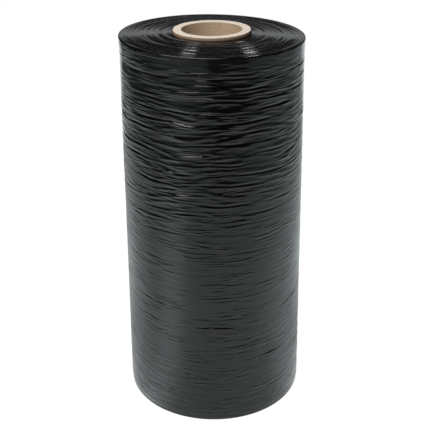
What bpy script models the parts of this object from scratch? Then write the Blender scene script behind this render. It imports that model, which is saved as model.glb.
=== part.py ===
"""A full roll of machine stretch film on its cardboard core, standing on its end.

The roll has two pieces: the spirally wound core, and the film wound on it, whose turns
cling together into one solid. The turns have slipped down a little towards the outside,
so the top end face falls away from the core, the bottom one sinks by as much, and the
core carries the roll. The top edge flares and stands higher on one side, the foot draws
in a little, and the outer film has drawn up into long folds that run round the roll.

Metres, +Z up. The origin is on the roll's axis, at the foot of the core.
"""

import collections
import math
import random

import bmesh
import bpy

# The core, a tube of kraft paper plies.
CORE_BORE = 0.0762           # for a three-inch mandrel
CORE_WALL = 0.0106
CORE_PROUD = 0.0040          # it stands this far above the innermost turns at the top
CORE_RIM_EASE = 0.0006       # the sawn rims are worn off by this much

# The film.
WEB_WIDTH = 0.5000           # the standard web of a machine roll
BODY_RADIUS = 0.1182         # of its side, halfway up
BODY_TAPER = 0.0058          # the side is this much further out at the foot than at the top
CORE_FIT = 0.0003            # between the core and the innermost turn
END_SLIP = 0.0028            # the outermost turn lies this far below the innermost one
END_SLANT = 0.0041           # the top edge stands this much higher at one side
SLANT_DEPTH = 0.0600         # the slant runs out this far down the side
FLOOR_GAP = 0.0004           # the outermost turn stays this far above the floor

# The web's edges, where the outer turns flare at the top and draw in at the foot.
RIM_FLARE = 0.0012
RIM_HEIGHT = 0.0120
RIM_EASE = 0.0012
FOOT_HEIGHT = 0.0140
FOOT_DRAW_IN = 0.0012
FOOT_EASE = 0.0008

# The end faces show the web's edges as rings of turns that stand up or lie back a little.
RING_WIDTH = 0.0062
RING_STEP = 0.0005

# The folds, each a crease with a lap that hangs over it and a shoulder below.
FOLD_SPACING = 0.0132        # from one line of folds to the next
FOLD_LENGTH = 0.1050         # a usual fold, measured round the roll
FOLD_GAP = 0.0300            # between two folds of one line
FOLD_DEPTH = 0.0014          # the deepest creases
LAP_RISE = 0.0004            # how far a lap swells out above its crease
LAP_HEIGHT = 0.0030          # from a crease up to the crown of its lap
SHOULDER_DROP = 0.0022       # from a crease down to the plain film
SLACK_FROM = 0.2400          # below this height the film lies tight, with shallow folds
SLACK_TO = 0.3200            # above this height it is slack, with deep ones
TIGHT_SHARE = 0.40           # depth of the shallow folds as a share of the deep ones
FOLD_WANDER = 0.0024         # how far a line of folds strays up and down
WANDER_WAVES = (2, 5, 9, 14)  # waves of that straying in one turn round the roll
FOLD_SEED = 11

ROUND_STEPS = 40             # facets round the roll, shared by the core and the film

FULL_TURN = 2 * math.pi

# What follows from the sizes above.
CORE_RADIUS = CORE_BORE / 2 + CORE_WALL
FILM_BORE_RADIUS = CORE_RADIUS + CORE_FIT
RIM_RADIUS = BODY_RADIUS - BODY_TAPER / 2 + RIM_FLARE
OUTER_FOOT = FLOOR_GAP
INNER_FOOT = OUTER_FOOT + END_SLIP
CORE_LENGTH = INNER_FOOT + WEB_WIDTH + CORE_PROUD
OUTER_TOP = OUTER_FOOT + WEB_WIDTH

Fold = collections.namedtuple("Fold", "angle half_length depth lean")
Row = collections.namedtuple("Row", "radius height line role")


def clear_scene():
    """Start from a scene without objects."""
    for thing in list(bpy.data.objects):
        bpy.data.objects.remove(thing, do_unlink=True)


def make_collection(name):
    """A collection in the scene to hold the roll's pieces."""
    group = bpy.data.collections.new(name)
    bpy.context.scene.collection.children.link(group)
    return group


def make_material(name, colour, roughness):
    """A plain surface of one colour."""
    material = bpy.data.materials.new(name)
    material.use_nodes = True
    shader = material.node_tree.nodes["Principled BSDF"]
    shader.inputs["Base Color"].default_value = (*colour, 1.0)
    shader.inputs["Roughness"].default_value = roughness
    shader.inputs["Metallic"].default_value = 0.0
    return material


def make_object(name, mesh, material, group):
    """Put a mesh in the scene as one piece of the roll."""
    mesh.materials.append(material)
    piece = bpy.data.objects.new(name, mesh)
    group.objects.link(piece)
    return piece


def core_profile():
    """The core's section, down its outer side and back up its bore."""
    bore = CORE_BORE / 2
    return [
        (CORE_RADIUS - CORE_RIM_EASE, CORE_LENGTH),
        (CORE_RADIUS, CORE_LENGTH - CORE_RIM_EASE),
        (CORE_RADIUS, CORE_RIM_EASE),
        (CORE_RADIUS - CORE_RIM_EASE, 0.0),
        (bore + CORE_RIM_EASE, 0.0),
        (bore, CORE_RIM_EASE),
        (bore, CORE_LENGTH - CORE_RIM_EASE),
        (bore + CORE_RIM_EASE, CORE_LENGTH),
    ]


def build_core(group):
    """The core tube, its section turned round the axis."""
    outline = core_profile()
    corners = [(radius, 0.0, height) for radius, height in outline]
    edges = [(i, (i + 1) % len(corners)) for i in range(len(corners))]
    mesh = bpy.data.meshes.new("core_tube")
    mesh.from_pydata(corners, edges, [])
    card = make_material("kraft_board", (0.56, 0.42, 0.28), 0.85)
    core = make_object("core_tube", mesh, card, group)
    turn = core.modifiers.new("turn", "SCREW")
    turn.axis = "Z"
    turn.angle = FULL_TURN
    turn.steps = ROUND_STEPS
    turn.render_steps = ROUND_STEPS
    turn.use_merge_vertices = True
    turn.merge_threshold = 0.00001
    turn.use_smooth_shade = True
    return core


def soft_step(low, high, value):
    """A soft step from 0 at low to 1 at high."""
    share = min(1.0, max(0.0, (value - low) / (high - low)))
    return share * share * (3 - 2 * share)


def side_radius(height):
    """Radius of the film's plain side at a height, with its flare and its drawn-in foot."""
    up = (height - OUTER_FOOT) / WEB_WIDTH
    flare = RIM_FLARE * max(0.0, 1 - (OUTER_TOP - height) / RIM_HEIGHT) ** 2
    foot = FOOT_DRAW_IN * max(0.0, 1 - (height - OUTER_FOOT) / FOOT_HEIGHT) ** 2
    return BODY_RADIUS + BODY_TAPER * (0.5 - up) + flare - foot


def slant_at(across, height):
    """How far the film's edge stands up at a place across the roll, near the top."""
    share = soft_step(OUTER_TOP - SLANT_DEPTH, OUTER_TOP - RIM_EASE, height)
    return -END_SLANT / 2 * share * across / RIM_RADIUS


def end_rings(outermost):
    """Radius and height of the rings on an end face, above the height of its outer edge."""
    width = outermost - FILM_BORE_RADIUS
    count = max(2, round(width / RING_WIDTH))
    rings = []
    for i in range(count):
        share = i / count
        lift = RING_STEP if i % 2 else 0.0
        rings.append((FILM_BORE_RADIUS + width * share, END_SLIP * (1 - share) - lift))
    return rings


def fold_levels():
    """Heights of the lines of folds, from the top down."""
    highest = OUTER_TOP - RIM_HEIGHT - FOLD_SPACING
    lowest = OUTER_FOOT + FOOT_HEIGHT
    count = max(2, round((highest - lowest) / FOLD_SPACING) + 1)
    spacing = (highest - lowest) / (count - 1)
    return [highest - spacing * i for i in range(count)]


def slackness_at(height):
    """How slack the film is at a height, as a share of its slackest stretch."""
    return TIGHT_SHARE + (1 - TIGHT_SHARE) * soft_step(SLACK_FROM, SLACK_TO, height)


def folds_of_line(line, level):
    """The folds of one line, one after another round the roll."""
    draw = random.Random(FOLD_SEED * 1000 + line)
    slackness = slackness_at(level)
    start = draw.uniform(0.0, FULL_TURN)
    angle = start
    folds = []
    while angle < start + FULL_TURN:
        half_length = FOLD_LENGTH * draw.uniform(0.45, 1.30) / 2 / BODY_RADIUS
        fullness = draw.random() ** (1 / slackness)
        depth = FOLD_DEPTH * (0.2 + 0.8 * fullness) * slackness ** 0.5
        lean = FOLD_SPACING * draw.uniform(-0.2, 0.2)
        folds.append(Fold(angle + half_length, half_length, depth, lean))
        angle += 2 * half_length + FOLD_GAP * draw.uniform(0.2, 1.6) / BODY_RADIUS
    return folds


def fold_at(folds, angle):
    """Depth of a line's crease at an angle, and how far its fold leans up there."""
    depth = 0.0
    lean = 0.0
    for fold in folds:
        away = (angle - fold.angle + math.pi) % FULL_TURN - math.pi
        share = away / fold.half_length
        if abs(share) < 1.0:
            fullness = (1.0 - share * share) ** 2
            depth = max(depth, fold.depth * fullness)
            lean += fold.lean * share * fullness
    return depth, lean


def wander_waves():
    """The waves that add up to the straying of the lines of folds."""
    draw = random.Random(FOLD_SEED)
    waves = []
    for count in WANDER_WAVES:
        phase = draw.uniform(0.0, FULL_TURN)
        climb = draw.uniform(12.0, 40.0) * draw.choice((-1, 1))
        waves.append((count, phase, climb))
    return waves


def wander_at(waves, angle, height):
    """How far a line of folds at this height strays from its level at an angle."""
    stray = 0.0
    for count, phase, climb in waves:
        stray += math.sin(count * angle + phase + climb * height) / math.sqrt(count)
    return FOLD_WANDER * stray / math.sqrt(len(waves))


def side_row(height, line=-1, role="plain"):
    """A row of the film's side at a height."""
    return Row(side_radius(height), height, line, role)


def film_rows():
    """The film's section as rows, down its side, in under it, up its bore and out on top."""
    rows = [Row(RIM_RADIUS - RIM_EASE, OUTER_TOP, -1, "plain")]
    for share in (0.10, 0.35, 1.0):
        rows.append(side_row(OUTER_TOP - RIM_HEIGHT * share))
    for line, level in enumerate(fold_levels()):
        rows.append(side_row(level + LAP_HEIGHT, line, "lap"))
        rows.append(side_row(level, line, "crease"))
        rows.append(side_row(level - SHOULDER_DROP, line, "shoulder"))
    for share in (0.55, 0.25):
        rows.append(side_row(OUTER_FOOT + FOOT_HEIGHT * share))
    foot_radius = side_radius(OUTER_FOOT)
    rows.append(Row(foot_radius, OUTER_FOOT + FOOT_EASE, -1, "plain"))
    rows.append(Row(foot_radius - FOOT_EASE, OUTER_FOOT, -1, "plain"))
    for radius, lift in reversed(end_rings(foot_radius - FOOT_EASE)):
        rows.append(Row(radius, OUTER_FOOT + lift, -1, "plain"))
    for radius, lift in end_rings(RIM_RADIUS - RIM_EASE):
        rows.append(Row(radius, OUTER_TOP + lift, -1, "plain"))
    return rows


def gather_side(film, layer, rows):
    """Draw the side of the turned film up into its folds and slant its top edge."""
    lines = [folds_of_line(line, level) for line, level in enumerate(fold_levels())]
    waves = wander_waves()
    highest = OUTER_TOP - RIM_HEIGHT
    for vert in film.verts:
        row = rows[vert[layer]]
        radius = row.radius
        height = row.height
        angle = math.atan2(vert.co.y, vert.co.x)
        if row.role != "plain":
            depth, lean = fold_at(lines[row.line], angle)
            room = min(highest - row.height, row.height - OUTER_FOOT) / (4 * FOLD_SPACING)
            height += wander_at(waves, angle, row.height) * min(1.0, room) + lean
            if row.role == "crease":
                radius -= depth
            if row.role == "lap":
                radius += LAP_RISE * depth / FOLD_DEPTH
        height += slant_at(vert.co.x, row.height)
        vert.co = (radius * math.cos(angle), radius * math.sin(angle), height)


def build_film(group):
    """The wound film, its section spun round the axis and its side gathered."""
    rows = film_rows()
    film = bmesh.new()
    layer = film.verts.layers.int.new("row")
    outline = []
    for index, row in enumerate(rows):
        vert = film.verts.new((row.radius, 0.0, row.height))
        vert[layer] = index
        outline.append(vert)
    edges = [film.edges.new((a, b)) for a, b in zip(outline, outline[1:] + outline[:1])]
    bmesh.ops.spin(
        film,
        geom=outline + edges,
        cent=(0.0, 0.0, 0.0),
        axis=(0.0, 0.0, 1.0),
        angle=FULL_TURN,
        steps=ROUND_STEPS,
        use_merge=True,
    )
    gather_side(film, layer, rows)
    bmesh.ops.recalc_face_normals(film, faces=film.faces)
    mesh = bpy.data.meshes.new("film_roll")
    film.to_mesh(mesh)
    film.free()
    mesh.shade_smooth()
    mesh.set_sharp_from_angle(angle=math.radians(40))
    black_film = make_material("black_film", (0.010, 0.010, 0.011), 0.28)
    return make_object("film_roll", mesh, black_film, group)


clear_scene()
roll = make_collection("stretch_wrap_roll")
build_core(roll)
build_film(roll)
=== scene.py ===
"""The looks of a full roll of black stretch film on its cardboard core, standing on end.

The script follows the roll as it is made: the core, the film wound on it, then the
table and the room that the film mirrors, the lamps and the camera.
"""

import math
import random

import bmesh
import bpy
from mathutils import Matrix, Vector, noise


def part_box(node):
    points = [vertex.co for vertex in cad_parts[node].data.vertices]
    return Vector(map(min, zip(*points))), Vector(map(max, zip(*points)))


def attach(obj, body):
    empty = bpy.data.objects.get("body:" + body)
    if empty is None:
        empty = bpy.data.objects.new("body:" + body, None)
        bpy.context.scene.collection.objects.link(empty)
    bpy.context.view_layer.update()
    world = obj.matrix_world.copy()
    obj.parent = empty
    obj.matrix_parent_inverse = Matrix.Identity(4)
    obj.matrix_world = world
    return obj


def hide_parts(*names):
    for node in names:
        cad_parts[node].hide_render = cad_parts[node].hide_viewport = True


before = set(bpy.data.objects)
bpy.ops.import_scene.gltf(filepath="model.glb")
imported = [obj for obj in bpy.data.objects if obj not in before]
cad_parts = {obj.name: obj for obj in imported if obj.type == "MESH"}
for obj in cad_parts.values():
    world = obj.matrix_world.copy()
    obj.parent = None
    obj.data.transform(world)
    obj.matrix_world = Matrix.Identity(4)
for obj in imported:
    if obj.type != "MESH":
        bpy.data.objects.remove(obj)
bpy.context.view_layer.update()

# Core
# A tube of kraft paper plies, wound on a slant and glued, and sawn square at both ends.
# It stands a little proud of the film, with a painted shadow on its wall just above the film, and
# its pale sawn rim shows the edges of the plies.
FULL_TURN = 2 * math.pi
core_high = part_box("core_tube")[1]
CORE_TOP = core_high.z
CORE_RADIUS = core_high.x
CORE_BORE_RADIUS = 0.0381
CORE_EASE = 0.0006
CORE_EASE_CORNER = 0.3           # share of the ease that is left at its middle
CORE_STEPS = 160
PLY_RINGS = 9
PLY_GROOVE = 0.00012
BOARD_BROWN = (0.37, 0.26, 0.165, 1)
BOARD_BUFF = (0.50, 0.37, 0.25, 1)
BOARD_GRAIN = 420.0
WALL_TONE = (0.66, 0.62, 0.60, 1)
WALL_DEPTH = 0.0015
CONTACT_SHADE_TONE = 0.15                 # darkest tone of the painted contact shadow between the core and the film
CONTACT_SHADE_DEEPEST = 0.0040            # these four depths go down from the core's top
CONTACT_SHADE_END = 0.0026
SAWN_START = 0.0007
SAWN_FULL = 0.0003
SAWN_BOARD = (0.75, 0.655, 0.55, 1)


def spin_profile(points, steps):
    """Turn a closed outline of (radius, height) points round the axis, with its rows numbered."""
    turned = bmesh.new()
    layer = turned.verts.layers.int.new("row")
    outline = []
    for index, (radius, height) in enumerate(points):
        vert = turned.verts.new((radius, 0.0, height))
        vert[layer] = index
        outline.append(vert)
    edges = [turned.edges.new((a, b)) for a, b in zip(outline, outline[1:] + outline[:1])]
    bmesh.ops.spin(
        turned,
        geom=outline + edges,
        cent=(0.0, 0.0, 0.0),
        axis=(0.0, 0.0, 1.0),
        angle=FULL_TURN,
        steps=steps,
        use_merge=True,
    )
    return turned, layer


def finish_mesh(turned, name):
    """Point the faces outwards and make the mesh a smooth object of the scene."""
    bmesh.ops.recalc_face_normals(turned, faces=turned.faces)
    mesh = bpy.data.meshes.new(name)
    turned.to_mesh(mesh)
    turned.free()
    mesh.shade_smooth()
    piece = bpy.data.objects.new(name, mesh)
    bpy.context.scene.collection.objects.link(piece)
    return piece


def new_material(name):
    """A material with an empty tree but for its Principled shader."""
    material = bpy.data.materials.new(name)
    material.use_nodes = True
    tree = material.node_tree
    return material, tree, tree.nodes["Principled BSDF"]


def add_node(tree, kind, inputs=None, **settings):
    """Add a shader node, set its fields and set or link its inputs."""
    node = tree.nodes.new(kind)
    for field, value in settings.items():
        setattr(node, field, value)
    for key, value in (inputs or {}).items():
        socket = node.inputs[key]
        if isinstance(value, bpy.types.NodeSocket):
            tree.links.new(value, socket)
        else:
            socket.default_value = value
    return node


def reckon(tree, operation, *values):
    """The result of one sum with the values or sockets given."""
    node = add_node(tree, "ShaderNodeMath", dict(enumerate(values)), operation=operation)
    return node.outputs["Value"]


def stretch(tree, value, source, target=(0.0, 1.0), soft=False):
    """The value moved from one range to another, with soft ends where wanted."""
    inputs = {
        "Value": value,
        "From Min": source[0],
        "From Max": source[1],
        "To Min": target[0],
        "To Max": target[1],
    }
    easing = "SMOOTHSTEP" if soft else "LINEAR"
    node = add_node(tree, "ShaderNodeMapRange", inputs, interpolation_type=easing)
    return node.outputs["Result"]


def blend(tree, share, first, second, kind="RGBA"):
    """A blend of two colours, or of two numbers where the kind is FLOAT."""
    inputs = {"Factor": share, "A": first, "B": second}
    return add_node(tree, "ShaderNodeMix", inputs, data_type=kind).outputs["Result"]


def find_place(tree):
    """A point's place on its piece, the place's three axes and the way out from the axis."""
    place = add_node(tree, "ShaderNodeTexCoord").outputs["Object"]
    axes = add_node(tree, "ShaderNodeSeparateXYZ", {"Vector": place}).outputs
    flat = add_node(tree, "ShaderNodeCombineXYZ", {"X": axes["X"], "Y": axes["Y"]})
    out = add_node(
        tree, "ShaderNodeVectorMath", {0: flat.outputs["Vector"]}, operation="LENGTH"
    )
    return place, axes, out.outputs["Value"]


def core_outline():
    """The core's section, down its outer side, up its bore and out over the sawn rim."""
    bore = CORE_BORE_RADIUS
    corner = CORE_EASE * CORE_EASE_CORNER
    points = [
        (CORE_RADIUS - CORE_EASE, CORE_TOP),
        (CORE_RADIUS - corner, CORE_TOP - corner),
        (CORE_RADIUS, CORE_TOP - CORE_EASE),
        (CORE_RADIUS, CORE_EASE),
        (CORE_RADIUS - CORE_EASE, 0.0),
        (bore + CORE_EASE, 0.0),
        (bore, CORE_EASE),
        (bore, CORE_TOP - CORE_EASE),
        (bore + corner, CORE_TOP - corner),
        (bore + CORE_EASE, CORE_TOP),
    ]
    width = CORE_RADIUS - bore - 2 * CORE_EASE
    for ring in range(1, PLY_RINGS * 2):
        radius = bore + CORE_EASE + width * ring / (PLY_RINGS * 2)
        points.append((radius, CORE_TOP - (PLY_GROOVE if ring % 2 else 0.0)))
    return points


core_mesh, _ = spin_profile(core_outline(), CORE_STEPS)
core = finish_mesh(core_mesh, "core_board")
board, tree, shader = new_material("kraft_board")
place, axes, out = find_place(tree)
grain = add_node(
    tree, "ShaderNodeTexNoise", {"Vector": place, "Scale": BOARD_GRAIN, "Detail": 6.0}
)
plies = add_node(tree, "ShaderNodeValToRGB", {"Fac": grain.outputs["Fac"]})
plies.color_ramp.elements[0].position = 0.3
plies.color_ramp.elements[0].color = BOARD_BROWN
plies.color_ramp.elements[1].position = 0.7
plies.color_ramp.elements[1].color = BOARD_BUFF
outer_wall = reckon(tree, "GREATER_THAN", out, CORE_RADIUS - WALL_DEPTH)
inner_wall = reckon(tree, "SUBTRACT", 1.0, outer_wall)
wall_tone = blend(tree, outer_wall, (1, 1, 1, 1), WALL_TONE)
paper = add_node(
    tree, "ShaderNodeVectorMath", {0: plies.outputs["Color"], 1: wall_tone}, operation="MULTIPLY"
)
# Painted shade: the core's outer wall is darkened towards the film, a painted contact shadow in
# the nook between them; the bore is left out.
painted_contact_shade = stretch(
    tree, axes["Z"], (CORE_TOP - CONTACT_SHADE_DEEPEST, CORE_TOP - CONTACT_SHADE_END), (CONTACT_SHADE_TONE, 1.0)
)
painted_contact_shade = reckon(tree, "MAXIMUM", painted_contact_shade, inner_wall)
paper = add_node(
    tree, "ShaderNodeVectorMath", {0: paper.outputs["Vector"], "Scale": painted_contact_shade}, operation="SCALE"
)
sawn = stretch(tree, axes["Z"], (CORE_TOP - SAWN_START, CORE_TOP - SAWN_FULL))
board_colour = blend(tree, sawn, paper.outputs["Vector"], SAWN_BOARD)
tree.links.new(board_colour, shader.inputs["Base Color"])
shader.inputs["Roughness"].default_value = 0.85
core.data.materials.append(board)
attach(core, "root")
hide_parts("core_tube")

# Film
# One web of black stretch film, wound tight and clinging to itself. Its outer turns have
# drawn up into folds round the roll: deep ones where the film is slack, over the upper
# half, and faint ones where it is tight. Its edges show as rings on the end faces.
WEB_WIDTH = 0.5000
BODY_RADIUS = 0.1182
BODY_TAPER = 0.0058
CORE_FIT = 0.0003
END_SLIP = 0.0028
END_SLANT = 0.0041
SLANT_DEPTH = 0.0600
FLOOR_GAP = 0.0004
RIM_FLARE = 0.0012
RIM_HEIGHT = 0.0120
RIM_EASE = 0.0012
FLARE_HEIGHT = 2 * RIM_HEIGHT
FOOT_HEIGHT = 0.0140
FOOT_DRAW_IN = 0.0012
FOOT_EASE = 0.0008
FILM_BORE_RADIUS = CORE_RADIUS + CORE_FIT
RIM_RADIUS = BODY_RADIUS - BODY_TAPER / 2 + RIM_FLARE
RIM_CORNER = RIM_RADIUS - RIM_EASE
OUTER_FOOT = FLOOR_GAP
OUTER_TOP = OUTER_FOOT + WEB_WIDTH
SIDE_TOP = OUTER_TOP - RIM_EASE
SIDE_FOOT = OUTER_FOOT + FOOT_EASE

# Folds of the side
# Lines of folds run round the roll, each a crease between the lap of film above it and
# the lip below it. Every fold has its own length, depth and lean.
FOLD_SPACING = 0.0132
FOLD_LENGTH = 0.1050
FOLD_LENGTHS = (0.45, 1.30)      # shares of the fold's length
FOLD_GAP = 0.0300
FOLD_GAPS = (0.2, 1.6)           # shares of the gap
FOLD_DEPTH = 0.0014
FAINTEST_FOLD = 0.2              # share of the fold's depth
FOLD_LEAN = 0.2                  # share of the spacing
FOLD_WANDER = 0.0024
WANDER_WAVES = (2, 5, 9, 14)
WANDER_CLIMB = (12.0, 40.0)
WANDER_ROOM = 4 * FOLD_SPACING   # straying eases off this near to the ends
FOLD_SEED = 11
CREASE_ABOVE = 0.44              # these reaches and places are shares of the lap's height
CREASE_BELOW = 0.27
LAP_HEIGHT = 0.0030
LAP_RISE = 0.0004
LAP_PLACE = 1.0
LAP_REACH = 0.45
LIP_RISE = 0.00045
LIP_PLACE = -0.75
LIP_REACH = 0.40
SLACK_FROM = 0.2400              # the folds deepen between these heights
SLACK_TO = 0.3200
TIGHT_SHARE = 0.40
LOOSE_FROM = 0.275               # the loose outermost turns start here, on a slant
LOOSE_TO = 0.355
LOOSE_CLIMB = 0.3
QUIET_FROM = 0.16                # a calm band, up to the loose turns
QUIET_TO = 0.21
QUIET_SHARE = 0.45
TOP_CALM = 0.014                 # the relief dies away over these heights
FOOT_CALM = 0.004

# Crinkles between the folds
# Low sharp crests in three sizes that run round the roll. They are fuller in some
# patches and where the outermost turns are loose, and calmer right under the rim.
CRINKLES = (                     # height of one, cells round the roll, depth
    (0.0088, 2.1, 0.00062),
    (0.0052, 3.4, 0.00040),
    (0.0031, 5.0, 0.00018),
)
CRINKLE_WIDTH = 0.50
CRINKLE_LAYER = 7                # keeps the patterns of the three sizes apart
CRINKLE_STRAY = 1.3
STRAY_CELLS = 1.6
STRAY_CLIMB = 22
CREST_SHARE = 0.55
CREST_FROM = 0.15
CREST_TO = 0.35
PATCH_CELLS = 1.9
PATCH_CLIMB = 8
PATCH_START = (15.7, 35.6, 39.0)
PATCH_STRENGTH = 1.6
PATCH_RANGE = (0.4, 1.8)
UNDER_RIM = 0.09
UNDER_RIM_SHARE = 0.5

# Rings of the top end
# The edges of the turns stand up and lie back a little, in fine rings and broad swells.
RING_SPACING = 0.0050
RING_RISE = 0.00012
RING_CELLS = 0.9
RING_DROP = 0.8
SWELL_LENGTH = 2.7
SWELL_SHARE = 0.5
SWELL_START = (4.0, 0.0)
RING_EASE_IN = 0.003
RING_EASE_OUT = 0.004

# Rows and steps of the film's mesh
# Close enough for the smallest crinkles, with fewer than 200,000 triangles.
FILM_STEPS = 160
ROW_PITCH = 0.00094
CORNER_ROWS = 3
FOOT_RINGS = 12
TOP_RINGS = 56


def soft_step(low, high, value):
    """A soft step from 0 at low to 1 at high."""
    share = min(1.0, max(0.0, (value - low) / (high - low)))
    return share * share * (3 - 2 * share)


def noise_round(angle, cells, level, start=(0.0, 0.0)):
    """Smooth noise that meets itself after a full turn round the roll."""
    east = math.cos(angle) * cells + start[0]
    north = math.sin(angle) * cells + start[1]
    return noise.noise(Vector((east, north, level)))


def side_radius(height):
    """Radius of the film's plain side at a height, with its flare and its drawn-in foot."""
    up = (height - OUTER_FOOT) / WEB_WIDTH
    flare = RIM_FLARE * max(0.0, 1 - (OUTER_TOP - height) / FLARE_HEIGHT)
    foot = FOOT_DRAW_IN * max(0.0, 1 - (height - OUTER_FOOT) / FOOT_HEIGHT) ** 2
    return BODY_RADIUS + BODY_TAPER * (0.5 - up) + flare - foot


def slant_at(across, height):
    """How far the film's edge stands up at a place across the roll, near the top."""
    share = soft_step(OUTER_TOP - SLANT_DEPTH, OUTER_TOP - RIM_EASE, height)
    return -END_SLANT / 2 * share * across / RIM_RADIUS


def slackness_at(height):
    """How slack the film is at a height, as a share of its slackest stretch."""
    return TIGHT_SHARE + (1 - TIGHT_SHARE) * soft_step(SLACK_FROM, SLACK_TO, height)


def looseness_at(angle, height):
    """How loose the outermost turns are, whose border climbs across the roll."""
    return soft_step(LOOSE_FROM, LOOSE_TO, height - LOOSE_CLIMB * BODY_RADIUS * math.cos(angle))


def fold_levels():
    """Heights of the lines of folds, from the top down."""
    highest = OUTER_TOP - RIM_HEIGHT - FOLD_SPACING
    lowest = OUTER_FOOT + FOOT_HEIGHT
    count = max(2, round((highest - lowest) / FOLD_SPACING) + 1)
    spacing = (highest - lowest) / (count - 1)
    return [highest - spacing * i for i in range(count)]


def folds_of_line(line, level):
    """The folds of one line, one after another round the roll."""
    draw = random.Random(FOLD_SEED * 1000 + line)
    slackness = slackness_at(level)
    start = draw.uniform(0.0, FULL_TURN)
    angle = start
    folds = []
    while angle < start + FULL_TURN:
        half_length = FOLD_LENGTH * draw.uniform(*FOLD_LENGTHS) / 2 / BODY_RADIUS
        fullness = draw.random() ** (1 / slackness)
        share = FAINTEST_FOLD + (1 - FAINTEST_FOLD) * fullness
        depth = FOLD_DEPTH * share * slackness ** 0.5
        lean = FOLD_SPACING * draw.uniform(-FOLD_LEAN, FOLD_LEAN)
        folds.append((angle + half_length, half_length, depth, lean))
        angle += 2 * half_length + FOLD_GAP * draw.uniform(*FOLD_GAPS) / BODY_RADIUS
    return folds


def fold_at(folds, angle):
    """Depth of a line's crease at an angle, and how far its fold leans up there."""
    depth = 0.0
    lean = 0.0
    for centre, half_length, deepest, rise in folds:
        away = (angle - centre + math.pi) % FULL_TURN - math.pi
        share = away / half_length
        if abs(share) < 1.0:
            fullness = (1.0 - share * share) ** 2
            depth = max(depth, deepest * fullness)
            lean += rise * share * fullness
    return depth, lean


def wander_waves():
    """The waves that add up to the straying of the lines of folds."""
    draw = random.Random(FOLD_SEED)
    waves = []
    for count in WANDER_WAVES:
        phase = draw.uniform(0.0, FULL_TURN)
        climb = draw.uniform(*WANDER_CLIMB) * draw.choice((-1, 1))
        waves.append((count, phase, climb))
    return waves


levels = fold_levels()
spacing = levels[0] - levels[1]
lines = [folds_of_line(line, level) for line, level in enumerate(levels)]
waves = wander_waves()


def wander_at(angle, height):
    """How far a line of folds at this height strays from its level at an angle."""
    stray = 0.0
    for count, phase, climb in waves:
        stray += math.sin(count * angle + phase + climb * height) / math.sqrt(count)
    return FOLD_WANDER * stray / math.sqrt(len(waves))


def relief_at(height, here):
    """How far the folds push the film out at a height, with the folds at this angle."""
    position = (levels[0] - height) / spacing
    cut = 0.0
    lap = 0.0
    for line in range(max(0, int(position) - 1), min(len(levels), int(position) + 3)):
        depth, _ = here[line]
        off = (height - levels[line]) / LAP_HEIGHT
        reach = CREASE_ABOVE if off > 0 else CREASE_BELOW
        cut += depth * math.exp(-(off / reach) ** 2)
        lap += LAP_RISE * depth / FOLD_DEPTH * math.exp(-((off - LAP_PLACE) / LAP_REACH) ** 2)
        lip = LIP_RISE * depth / FOLD_DEPTH * slackness_at(height)
        lap += lip * math.exp(-((off - LIP_PLACE) / LIP_REACH) ** 2)
    return lap - cut


def lean_at(height, here):
    """How far the nearest folds at this angle lean up, between one line and the next."""
    position = (levels[0] - height) / spacing
    below = min(len(levels) - 1, max(0, int(position)))
    above = min(len(levels) - 1, below + 1)
    share = min(1.0, max(0.0, position - below))
    return here[below][1] * (1 - share) + here[above][1] * share


def crinkle_at(angle, height):
    """How far the film lies in at a crinkle, with low sharp crests that run round the roll."""
    stray = noise_round(angle, STRAY_CELLS, height * STRAY_CLIMB)
    mean = 1 - CREST_SHARE * soft_step(CREST_FROM, CREST_TO, height)
    depth = 0.0
    for index, (tall, cells, deepest) in enumerate(CRINKLES):
        level = CRINKLE_LAYER * index + height / tall + CRINKLE_STRAY * stray
        line = abs(noise_round(angle, cells, level))
        depth += deepest * (mean - max(0.0, 1 - line / CRINKLE_WIDTH) ** 2)
    patch = noise_round(angle, PATCH_CELLS, height * PATCH_CLIMB + PATCH_START[2], PATCH_START)
    fullness = min(PATCH_RANGE[1], max(PATCH_RANGE[0], 1 + PATCH_STRENGTH * patch))
    slack = TIGHT_SHARE + (1 - TIGHT_SHARE) * looseness_at(angle, height)
    away = soft_step(0.0, UNDER_RIM, OUTER_TOP - height)
    under_rim = UNDER_RIM_SHARE + (1 - UNDER_RIM_SHARE) * away
    return depth * fullness * slack * under_rim


def rings_at(angle, radius):
    """How far the edges of the turns stand up on the top end."""
    inner = soft_step(0.0, RING_EASE_IN, radius - FILM_BORE_RADIUS)
    outer = soft_step(0.0, RING_EASE_OUT, RIM_CORNER - radius)
    level = radius / RING_SPACING
    step = noise_round(angle, RING_CELLS, level)
    swell = noise_round(angle, RING_CELLS, level / SWELL_LENGTH, SWELL_START)
    return inner * outer * RING_RISE * (step + SWELL_SHARE * swell - RING_DROP)


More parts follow.
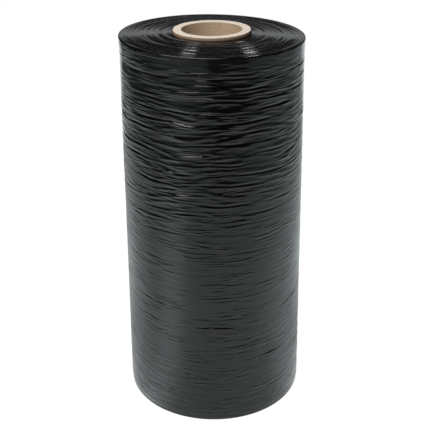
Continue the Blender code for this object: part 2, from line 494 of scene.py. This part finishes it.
def film_outline():
    """The film's section and its zones: over the rim, down the side, in at the foot, out."""
    points = []
    for i in range(CORNER_ROWS):
        turn = math.pi / 2 * i / CORNER_ROWS
        radius = RIM_RADIUS - RIM_EASE * (1 - math.sin(turn))
        points.append((radius, OUTER_TOP - RIM_EASE * (1 - math.cos(turn)), "edge"))
    side_rows = round((SIDE_TOP - SIDE_FOOT) / ROW_PITCH)
    for i in range(side_rows + 1):
        height = SIDE_TOP + (SIDE_FOOT - SIDE_TOP) * i / side_rows
        points.append((side_radius(height), height, "side"))
    foot_corner = side_radius(OUTER_FOOT) - FOOT_EASE
    for i in range(1, CORNER_ROWS):
        turn = math.pi / 2 * i / CORNER_ROWS
        radius = foot_corner + FOOT_EASE * math.cos(turn)
        points.append((radius, OUTER_FOOT + FOOT_EASE * (1 - math.sin(turn)), "foot"))
    for i in range(FOOT_RINGS, -1, -1):
        share = i / FOOT_RINGS
        radius = FILM_BORE_RADIUS + (foot_corner - FILM_BORE_RADIUS) * share
        points.append((radius, OUTER_FOOT + END_SLIP * (1 - share), "foot"))
    for i in range(TOP_RINGS):
        share = i / TOP_RINGS
        radius = FILM_BORE_RADIUS + (RIM_CORNER - FILM_BORE_RADIUS) * share
        points.append((radius, OUTER_TOP + END_SLIP * (1 - share), "top"))
    return points


outline = film_outline()
film_mesh, layer = spin_profile([point[:2] for point in outline], FILM_STEPS)
folds_by_angle = {}
for vert in film_mesh.verts:
    radius, height, zone = outline[vert[layer]]
    angle = math.atan2(vert.co.y, vert.co.x)
    slant = slant_at(vert.co.x, height)
    if zone == "top":
        height += rings_at(angle, radius)
    if zone == "side":
        key = round(angle * 1e4)
        if key not in folds_by_angle:
            folds_by_angle[key] = [fold_at(folds, angle) for folds in lines]
        here = folds_by_angle[key]
        quiet = soft_step(QUIET_FROM, QUIET_TO, height) * (1 - looseness_at(angle, height))
        relief = relief_at(height, here) - crinkle_at(angle, height)
        calm = min(1.0, (SIDE_TOP - height) / TOP_CALM, (height - SIDE_FOOT) / FOOT_CALM)
        radius += relief * calm * (1 - QUIET_SHARE * quiet)
        inside = min(SIDE_TOP - height, height - SIDE_FOOT) / WANDER_ROOM
        ease = min(1.0, max(0.0, inside))
        height += (wander_at(angle, height) + lean_at(height, here)) * ease
    vert.co = (radius * math.cos(angle), radius * math.sin(angle), height + slant)
film = finish_mesh(film_mesh, "wound_film")

# Finish of the film's side
# Glossy black film. Fine streaks run round it, stronger low down and calmer near the rim,
# and here and there a strand, where the film is drawn thin.
FILM_BLACK = (0.0015, 0.0016, 0.0018, 1)
FILM_ROUGHNESS = 0.10
FILM_IOR = 1.5
STREAK_CELLS = (24.0, 24.0, 400.0)
STREAK_RISE = 0.00040
LOW_STREAKS = ((0.06, 0.23), (2.2, 0.9))
HIGH_STREAKS = ((0.36, 0.46), (1.0, 0.4))
STRAND_CELLS = (15.0, 15.0, 190.0)
STRAND_RISE = 0.00032
STRAND_WIDTH = 0.10
STRAND_PATCH_CELLS = (19.0, 19.0, 60.0)
STRAND_PATCHES = (0.44, 0.60)


def film_noise(tree, place, cells, **settings):
    """Noise in cells of their own length along each axis of the roll."""
    scaled = add_node(tree, "ShaderNodeMapping", {"Vector": place, "Scale": cells})
    inputs = {"Vector": scaled.outputs["Vector"], "Scale": 1.0, **settings}
    return add_node(tree, "ShaderNodeTexNoise", inputs).outputs["Fac"]


black, tree, shader = new_material("black_film")
shader.inputs["Base Color"].default_value = FILM_BLACK
shader.inputs["Roughness"].default_value = FILM_ROUGHNESS
shader.inputs["IOR"].default_value = FILM_IOR
place, axes, _ = find_place(tree)
streaks = film_noise(tree, place, STREAK_CELLS, Detail=3.0, Distortion=0.4)
low_share = stretch(tree, axes["Z"], *LOW_STREAKS, soft=True)
high_share = stretch(tree, axes["Z"], *HIGH_STREAKS, soft=True)
streaks = reckon(tree, "MULTIPLY", streaks, reckon(tree, "MULTIPLY", low_share, high_share))
bump = add_node(
    tree, "ShaderNodeBump",
    {"Height": streaks, "Strength": 1.0, "Distance": STREAK_RISE},
)
strands = film_noise(tree, place, STRAND_CELLS, Detail=1.0, Distortion=0.2)
middle = reckon(tree, "ABSOLUTE", reckon(tree, "SUBTRACT", strands, 0.5))
strands = stretch(tree, middle, (0.0, STRAND_WIDTH), (1.0, 0.0), soft=True)
patches = film_noise(tree, place, STRAND_PATCH_CELLS, Detail=1.0)
patches = stretch(tree, patches, STRAND_PATCHES, soft=True)
strands = reckon(tree, "MULTIPLY", strands, patches)
bump = add_node(
    tree, "ShaderNodeBump",
    {"Height": strands, "Strength": 1.0, "Distance": STRAND_RISE,
     "Normal": bump.outputs["Normal"]},
)
tree.links.new(bump.outputs["Normal"], shader.inputs["Normal"])
film.data.materials.append(black)

# Finish of the end faces
# The cut edges of the turns, which draw each reflection out across them.
EDGE_BLACK = (0.003, 0.003, 0.0033, 1)
EDGE_STRETCH = 0.8
EDGE_TURN = 0.25
EDGE_CELLS = (26.0, 26.0, 330.0)          # along X and Y, and out from the axis
EDGE_RISE = 0.00018
edges, tree, shader = new_material("film_edges")
shader.inputs["Base Color"].default_value = EDGE_BLACK
shader.inputs["Roughness"].default_value = FILM_ROUGHNESS
shader.inputs["IOR"].default_value = FILM_IOR
shader.inputs["Anisotropic"].default_value = EDGE_STRETCH
shader.inputs["Anisotropic Rotation"].default_value = EDGE_TURN
radial = add_node(tree, "ShaderNodeTangent", direction_type="RADIAL", axis="Z")
tree.links.new(radial.outputs["Tangent"], shader.inputs["Tangent"])
place, axes, out = find_place(tree)
round_it = add_node(
    tree, "ShaderNodeCombineXYZ",
    {"X": reckon(tree, "MULTIPLY", axes["X"], EDGE_CELLS[0]),
     "Y": reckon(tree, "MULTIPLY", axes["Y"], EDGE_CELLS[1]),
     "Z": reckon(tree, "MULTIPLY", out, EDGE_CELLS[2])},
)
turns = add_node(
    tree, "ShaderNodeTexNoise", {"Vector": round_it.outputs["Vector"], "Scale": 1.0, "Detail": 1.0}
)
bump = add_node(
    tree, "ShaderNodeBump",
    {"Height": turns.outputs["Fac"], "Strength": 1.0, "Distance": EDGE_RISE},
)
tree.links.new(bump.outputs["Normal"], shader.inputs["Normal"])
film.data.materials.append(edges)
FLAT_FACE = 0.7
for face in film.data.polygons:
    centre = face.center
    if abs(face.normal.z) > FLAT_FACE and math.hypot(centre.x, centre.y) < RIM_CORNER:
        face.material_index = 1
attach(film, "root")
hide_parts("film_roll")

# Table
# A round white table. The camera sees it plain white, and the film mirrors its painted glow, which
# fades towards the camera, holds a painted shadow close to the roll and has its own tone each way.
TABLE_RADIUS = 1.45
TABLE_CENTRE = (0.0, 0.35, 0.0)
TABLE_WHITE = 0.97
TABLE_GREY = (0.15, 0.15, 0.15, 1)
TABLE_SIDES = 96
GLOW = 1.0
GLOW_ACROSS = 1.2
GLOW_FORWARD = 1.6
GLOW_TINT = (0.93, 1.0, 1.01)
SHADE_REACH = (0.115, 0.45)               # out from the axis
SHADE_DEPTH = ((-0.05, 0.12), (0.75, 0.32))
HALVED = (0.5, 0.5, 0.5)                  # scale of the tones, which the glow doubles again
CORNER_WAY = (-0.5, 1.5, 0.0)             # to the far corner on the left, which glows more
CORNER_GLOW = ((1.1, 1.9), (2.0, 3.2))
TABLE_TONES = (                           # degrees round from the camera's side, tone
    (-180, 0.52), (-143, 0.54), (-122, 1.0), (-97, 1.12), (-81, 1.06), (-70, 1.22), (-54, 1.9),
    (-44, 1.92), (-38, 1.68), (-30, 1.25), (-17, 1.07), (0, 1.0), (45, 1.1), (67, 1.36),
    (81, 1.38), (97, 1.26), (118, 1.05), (143, 0.72), (180, 0.52),
)


def tones_round(tree, axes, tones, scale):
    """The tone each way round the roll, as a colour scaled by a number for each channel."""
    toward = reckon(tree, "MULTIPLY", axes["Y"], -1.0)
    turn = reckon(tree, "ARCTAN2", axes["X"], toward)
    ring = add_node(
        tree, "ShaderNodeValToRGB", {"Fac": stretch(tree, turn, (-math.pi, math.pi))}
    )
    ramp = ring.color_ramp
    while len(ramp.elements) < len(tones):
        ramp.elements.new(0.5)
    for element, (degrees, tone) in zip(ramp.elements, tones):
        element.position = (degrees + 180) / 360
        element.color = (tone * scale[0], tone * scale[1], tone * scale[2], 1)
    return ring.outputs["Color"]


table_mesh = bmesh.new()
bmesh.ops.create_circle(table_mesh, cap_ends=True, segments=TABLE_SIDES, radius=TABLE_RADIUS)
bmesh.ops.translate(table_mesh, verts=table_mesh.verts, vec=TABLE_CENTRE)
table = finish_mesh(table_mesh, "table")
paint, tree, shader = new_material("white_table")
place, axes, out = find_place(tree)
across = reckon(tree, "MULTIPLY", axes["X"], 1 / GLOW_ACROSS)
ahead = reckon(tree, "SUBTRACT", axes["Y"], TABLE_CENTRE[1])
forward = reckon(tree, "MULTIPLY", reckon(tree, "MINIMUM", ahead, 0.0), 1 / GLOW_FORWARD)
wide = reckon(tree, "MULTIPLY", across, across)
far = reckon(tree, "MULTIPLY_ADD", forward, forward, wide)
fade = reckon(tree, "EXPONENT", reckon(tree, "MULTIPLY", far, -1.0))
# Painted contact shadow: the glow the film mirrors is dimmed close to the roll's foot, more behind
# it than in front.
shadow = stretch(tree, axes["Y"], *SHADE_DEPTH)
shade = stretch(tree, out, SHADE_REACH, (shadow, GLOW), soft=True)
sectors = tones_round(tree, axes, TABLE_TONES, HALVED)
corner = add_node(
    tree, "ShaderNodeVectorMath", {0: place, 1: CORNER_WAY}, operation="DOT_PRODUCT"
)
boost = stretch(tree, corner.outputs["Value"], *CORNER_GLOW, soft=True)
lit = reckon(tree, "MULTIPLY", fade, shade)
lit = reckon(tree, "MULTIPLY", lit, sectors)
lit = reckon(tree, "MULTIPLY", lit, boost)
seen = add_node(tree, "ShaderNodeLightPath").outputs["Is Camera Ray"]
strength = blend(tree, seen, lit, TABLE_WHITE, kind="FLOAT")
tint = blend(tree, seen, (*GLOW_TINT, 1), (1, 1, 1, 1))
tree.links.new(tint, shader.inputs["Emission Color"])
tree.links.new(strength, shader.inputs["Emission Strength"])
shader.inputs["Base Color"].default_value = TABLE_GREY
shader.inputs["Roughness"].default_value = 1.0
shader.inputs["Specular IOR Level"].default_value = 0.0
table.data.materials.append(paint)

# Room
# White to the camera, and dim where the film mirrors it: its walls dark to the left and
# behind the camera, bright behind the roll, and a long low window there under the ceiling.
ROOM_TONES = (                            # degrees round from the camera's side, tone
    (-180, 1.1), (-156, 1.1), (-146, 0.12), (-116, 0.11), (-81, 0.21), (-60, 0.35),
    (-41, 0.40), (-20, 0.30), (-7, 0.22), (-3, 0.07), (42, 0.09), (47, 0.26), (80, 0.42),
    (138, 0.5), (148, 1.1), (180, 1.1),
)
ROOM_BEHIND = (0.3, 0.6)                  # northward part of the way looked
ROOM_FADE = ((-0.39, -0.03), (1.5, 0.25)) # upward part of the way looked, and tone
SKYLINE = (-0.03, 0.04)
WINDOW_SILL = (0.190, 0.215)
WINDOW_LINTEL = (0.234, 0.252)
WINDOW_LIGHT = (0.53, 0.55, 0.56, 1)
CEILING_GREY = (0.017, 0.017, 0.017, 1)
room = bpy.data.worlds.new("studio")
bpy.context.scene.world = room
room.use_nodes = True
tree = room.node_tree
look = add_node(tree, "ShaderNodeTexCoord").outputs["Generated"]
axes = add_node(tree, "ShaderNodeSeparateXYZ", {"Vector": look}).outputs
tones = tones_round(tree, axes, ROOM_TONES, GLOW_TINT)
fall = stretch(tree, axes["Z"], *ROOM_FADE)
behind = stretch(tree, axes["Y"], ROOM_BEHIND, soft=True)
share = blend(tree, behind, fall, 1.0, kind="FLOAT")
walls = add_node(tree, "ShaderNodeVectorMath", {0: tones, "Scale": share}, operation="SCALE")
rise = stretch(tree, axes["Z"], SKYLINE, soft=True)
sill = stretch(tree, axes["Z"], WINDOW_SILL, soft=True)
lintel = stretch(tree, axes["Z"], WINDOW_LINTEL, (1.0, 0.0), soft=True)
window = reckon(tree, "MULTIPLY", reckon(tree, "MULTIPLY", sill, lintel), behind)
ceiling = blend(tree, window, CEILING_GREY, WINDOW_LIGHT)
dome = blend(tree, rise, walls.outputs["Vector"], ceiling)
seen = add_node(tree, "ShaderNodeLightPath").outputs["Is Camera Ray"]
shown = blend(tree, seen, dome, (1, 1, 1, 1))
tree.links.new(shown, tree.nodes["Background"].inputs["Color"])

# Soft boxes
# Two small ones far behind the roll draw the wedges of light on its top end, and a wide one
# in front on the left lights the core.
LAMP_TARGET = Vector((0, 0, 0.4))


def soft_box(name, place, size, power):
    """A square soft box that hangs at a place and faces the upper part of the roll."""
    lamp = bpy.data.lights.new(name, "AREA")
    lamp.size = size
    lamp.energy = power
    box = bpy.data.objects.new(name, lamp)
    box.location = place
    box.rotation_mode = "QUATERNION"
    box.rotation_quaternion = (LAMP_TARGET - Vector(place)).to_track_quat("-Z", "Y")
    bpy.context.scene.collection.objects.link(box)


soft_box("left_soft_box", (-0.074, 1.28, 1.133), 0.05, 0.065)
soft_box("right_soft_box", (0.163, 1.28, 1.085), 0.05, 0.05)
soft_box("front_soft_box", (-0.60, -0.80, 2.10), 1.9, 52)

# Camera
# It looks down at the roll from in front, as the photograph does. Its place, its angles in
# degrees and its lens in millimetres follow from the roll's outline in the photograph.
LENS = 73.19
SENSOR = 36.0
CAMERA_DISTANCE = 1.0804
CAMERA_HEIGHT = 0.7567
CAMERA_PITCH = 25.04
CAMERA_YAW = -0.294
CAMERA_ROLL = 0.381
camera_data = bpy.data.cameras.new("camera")
camera_data.lens = LENS
camera_data.sensor_width = SENSOR
camera = bpy.data.objects.new("camera", camera_data)
camera.location = (0.0, -CAMERA_DISTANCE, CAMERA_HEIGHT)
camera.rotation_euler = (
    math.radians(90 - CAMERA_PITCH), math.radians(CAMERA_ROLL), math.radians(CAMERA_YAW)
)
bpy.context.scene.collection.objects.link(camera)
bpy.context.scene.camera = camera
bpy.context.scene.view_settings.view_transform = "Standard"
